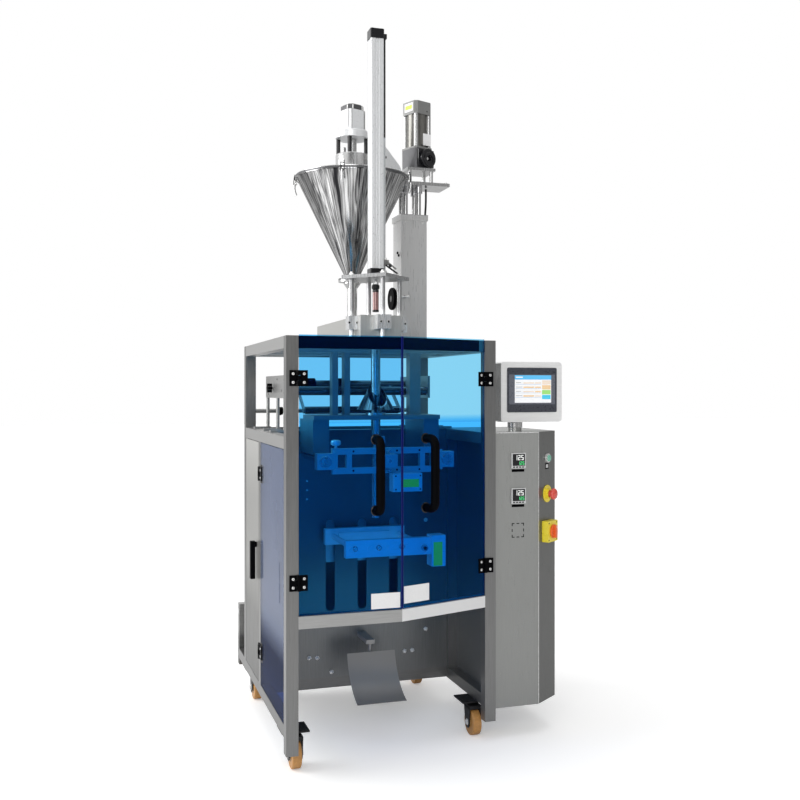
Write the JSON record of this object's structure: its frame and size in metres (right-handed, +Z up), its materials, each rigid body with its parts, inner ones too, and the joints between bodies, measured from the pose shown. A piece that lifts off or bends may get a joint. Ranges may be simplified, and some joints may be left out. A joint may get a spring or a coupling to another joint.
{
  "type": "vertical form fill seal machine",
  "caption": "Floor-standing machine with a funnel, auger and forming tube that shapes film into bags, fills them and seals them with jaws behind acrylic doors.",
  "frame": {"origin": "on the floor, under the middle of the machine's outline", "axes": "+Z up, -Y towards the doors at the front, +X towards the electrical cabinet on the right"},
  "size_m": [1.035, 1.089, 2.401],
  "materials": {
    "stainless_tube": "satin",
    "stainless_sheet": "polished",
    "blue_acrylic": "clear, polished",
    "black_plastic": "fine grain",
    "black_metal": "satin black",
    "amber_polyurethane": "smooth",
    "aluminium": "anodised",
    "motor_grey": "painted",
    "brass_green_button": "gloss",
    "red_button": "gloss",
    "red_knob": "gloss",
    "plunger_rod": "polished",
    "chrome_shaft": "ground",
    "panel_grey": "fine grain"
  },
  "bodies": {
    "frame": {"frame_posts": "stainless_tube", "frame_rails": "stainless_tube", "mechanism_wall": "stainless_sheet", "body_panels": "stainless_sheet", "caster_plates": "chrome_shaft", "post_hinge_leaves": "black_plastic", "cabinet_shell": "stainless_sheet", "panel_controls": "black_plastic", "forming_table": "aluminium", "forming_tube": "stainless_sheet", "forming_shoulder": "stainless_sheet", "feed_trough": "stainless_sheet", "cylinder_stand": "aluminium", "plunger_cylinder": "aluminium", "lifting_column": "stainless_sheet", "guide_shafts": "chrome_shaft", "sealer_ladder": "aluminium", "sealer_junction_box": "panel_grey", "film_unit_frame": "aluminium", "discharge_chute": "stainless_sheet", "air_hose": "black_plastic", "motor_cable": "black_plastic"},
    "left_door": {"left_door_panel": "blue_acrylic", "left_door_hardware": "black_plastic"},
    "right_door": {"right_door_panel": "blue_acrylic", "right_door_hardware": "black_plastic"},
    "side_door": {"side_door": "blue_acrylic"},
    "rear_door": {"rear_door_panel": "stainless_sheet"},
    "rear_handle": {"rear_door_handle": "black_plastic"},
    "switch_knob": {"switch_knob": "red_knob"},
    "estop_button": {"estop_button": "red_button"},
    "start_button": {"start_button": "brass_green_button"},
    "operator_panel": {"operator_panel": "panel_grey"},
    "filler_head": {"lift_frame": "stainless_sheet", "agitator_motor": "motor_grey", "hopper": "stainless_sheet", "auger_tube": "stainless_sheet", "hopper_lid": "stainless_sheet", "drive_stand": "aluminium", "filler_motor": "aluminium"},
    "auger": {"auger_screw": "stainless_sheet"},
    "handwheel": {"handwheel": "black_plastic"},
    "plunger": {"plunger": "plunger_rod"},
    "jaw_carriage": {"jaw_carriage": "aluminium"},
    "front_jaw": {"front_jaw": "stainless_tube"},
    "rear_jaw": {"rear_jaw": "stainless_tube"},
    "vertical_sealer": {"vertical_sealer": "stainless_tube"},
    "dancer_arm": {"dancer_arm": "aluminium"},
    "dancer_roller": {"dancer_roller": "aluminium"},
    "feed_roller": {"feed_roller": "aluminium"},
    "guide_roller": {"guide_roller": "aluminium"},
    "reel_shaft": {"reel_shaft": "chrome_shaft"},
    "swivel_front_left": {"caster_fork_front_left": "black_metal"},
    "wheel_front_left": {"caster_wheel_front_left": "amber_polyurethane"},
    "swivel_front_right": {"caster_fork_front_right": "black_metal"},
    "wheel_front_right": {"caster_wheel_front_right": "amber_polyurethane"},
    "swivel_rear_left": {"caster_fork_rear_left": "black_metal"},
    "wheel_rear_left": {"caster_wheel_rear_left": "amber_polyurethane"},
    "swivel_rear_right": {"caster_fork_rear_right": "black_metal"},
    "wheel_rear_right": {"caster_wheel_rear_right": "amber_polyurethane"}
  },
  "joints": [
    {"name": "left_door_hinge", "type": "hinge", "parent": "frame", "child": "left_door", "pos_m": [-0.457, -0.479, 0.918], "axis": [0, 0, 1], "range_deg": [-110, 0]},
    {"name": "right_door_hinge", "type": "hinge", "parent": "frame", "child": "right_door", "pos_m": [0.196, -0.372, 0.918], "axis": [0, 0, 1], "range_deg": [0, 110]},
    {"name": "side_door_hinge", "type": "hinge", "parent": "frame", "child": "side_door", "pos_m": [-0.5, -0.015, 0.575], "axis": [0, 0, 1], "range_deg": [-110, 0]},
    {"name": "rear_door_hinge", "type": "hinge", "parent": "frame", "child": "rear_door", "pos_m": [-0.49, 0.308, 0.575], "axis": [0, 0, 1], "range_deg": [-100, 0]},
    {"name": "rear_handle_pivot", "type": "hinge", "parent": "rear_door", "child": "rear_handle", "pos_m": [-0.505, 0.071, 0.629], "axis": [1, 0, 0], "range_deg": [0, 90]},
    {"name": "swivel_turn_front_left", "type": "hinge", "parent": "frame", "child": "swivel_front_left", "pos_m": [-0.45, -0.358, 0.1], "axis": [0, 0, 1], "continuous": true},
    {"name": "wheel_turn_front_left", "type": "hinge", "parent": "swivel_front_left", "child": "wheel_front_left", "pos_m": [-0.45, -0.383, 0.045], "axis": [1, 0, 0], "continuous": true},
    {"name": "swivel_turn_front_right", "type": "hinge", "parent": "frame", "child": "swivel_front_right", "pos_m": [0.189, -0.251, 0.1], "axis": [0, 0, 1], "continuous": true},
    {"name": "wheel_turn_front_right", "type": "hinge", "parent": "swivel_front_right", "child": "wheel_front_right", "pos_m": [0.189, -0.276, 0.045], "axis": [1, 0, 0], "continuous": true},
    {"name": "swivel_turn_rear_left", "type": "hinge", "parent": "frame", "child": "swivel_rear_left", "pos_m": [-0.45, 0.36, 0.1], "axis": [0, 0, 1], "continuous": true},
    {"name": "wheel_turn_rear_left", "type": "hinge", "parent": "swivel_rear_left", "child": "wheel_rear_left", "pos_m": [-0.45, 0.335, 0.045], "axis": [1, 0, 0], "continuous": true},
    {"name": "swivel_turn_rear_right", "type": "hinge", "parent": "frame", "child": "swivel_rear_right", "pos_m": [0.189, 0.36, 0.1], "axis": [0, 0, 1], "continuous": true},
    {"name": "wheel_turn_rear_right", "type": "hinge", "parent": "swivel_rear_right", "child": "wheel_rear_right", "pos_m": [0.189, 0.335, 0.045], "axis": [1, 0, 0], "continuous": true},
    {"name": "switch_turn", "type": "hinge", "parent": "frame", "child": "switch_knob", "pos_m": [0.4495, -0.312, 0.689], "axis": [0.596, -0.803, 0], "range_deg": [0, 90]},
    {"name": "estop_press", "type": "slide", "parent": "frame", "child": "estop_button", "axis": [-0.596, 0.803, 0], "range_m": [0, 0.005], "stiffness_N_per_m": 900},
    {"name": "start_press", "type": "slide", "parent": "frame", "child": "start_button", "axis": [-0.596, 0.803, 0], "range_m": [0, 0.004], "stiffness_N_per_m": 500},
    {"name": "operator_panel_turn", "type": "hinge", "parent": "frame", "child": "operator_panel", "pos_m": [0.353, -0.259, 1.06], "axis": [0, 0, 1], "range_deg": [-45, 45]},
    {"name": "filler_lift", "type": "slide", "parent": "frame", "child": "filler_head", "axis": [0, 0, 1], "range_m": [0, 0.06]},
    {"name": "handwheel_turn", "type": "hinge", "parent": "frame", "child": "handwheel", "pos_m": [0.032, 0.126, 1.517], "axis": [1, 0, 0], "range_deg": [0, 175]},
    {"name": "auger_spin", "type": "hinge", "parent": "filler_head", "child": "auger", "pos_m": [-0.149, 0.056, 1.7], "axis": [0, 0, 1], "continuous": true},
    {"name": "plunger_stroke", "type": "slide", "parent": "frame", "child": "plunger", "axis": [0, 0, -1], "range_m": [0, 0.6]},
    {"name": "jaw_lift", "type": "slide", "parent": "frame", "child": "jaw_carriage", "axis": [0, 0, -1], "range_m": [0, 0.22]},
    {"name": "front_jaw_close", "type": "slide", "parent": "jaw_carriage", "child": "front_jaw", "axis": [0, 1, 0], "range_m": [0, 0.116]},
    {"name": "rear_jaw_close", "type": "slide", "parent": "jaw_carriage", "child": "rear_jaw", "axis": [0, 1, 0], "range_m": [-0.116, 0]},
    {"name": "vertical_sealer_press", "type": "slide", "parent": "frame", "child": "vertical_sealer", "axis": [0, 1, 0], "range_m": [0, 0.038]},
    {"name": "dancer_swing", "type": "hinge", "parent": "frame", "child": "dancer_arm", "pos_m": [-0.17, 0.086, 1.18], "axis": [1, 0, 0], "range_deg": [-35, 0]},
    {"name": "dancer_roller_turn", "type": "hinge", "parent": "dancer_arm", "child": "dancer_roller", "pos_m": [-0.17, -0.026, 1.104], "axis": [1, 0, 0], "continuous": true},
    {"name": "feed_roller_turn", "type": "hinge", "parent": "frame", "child": "feed_roller", "pos_m": [-0.17, 0.166, 1.192], "axis": [1, 0, 0], "continuous": true},
    {"name": "guide_roller_turn", "type": "hinge", "parent": "frame", "child": "guide_roller", "pos_m": [-0.17, -0.089, 1.172], "axis": [1, 0, 0], "continuous": true},
    {"name": "reel_turn", "type": "hinge", "parent": "frame", "child": "reel_shaft", "pos_m": [-0.131, 0.504, 0.3], "axis": [1, 0, 0], "continuous": true}
  ],
  "couplings": [
    {"joint": "rear_jaw_close", "follows": "front_jaw_close", "ratio": -1},
    {"joint": "handwheel_turn", "follows": "filler_lift", "rad_per_m": 50}
  ]
}
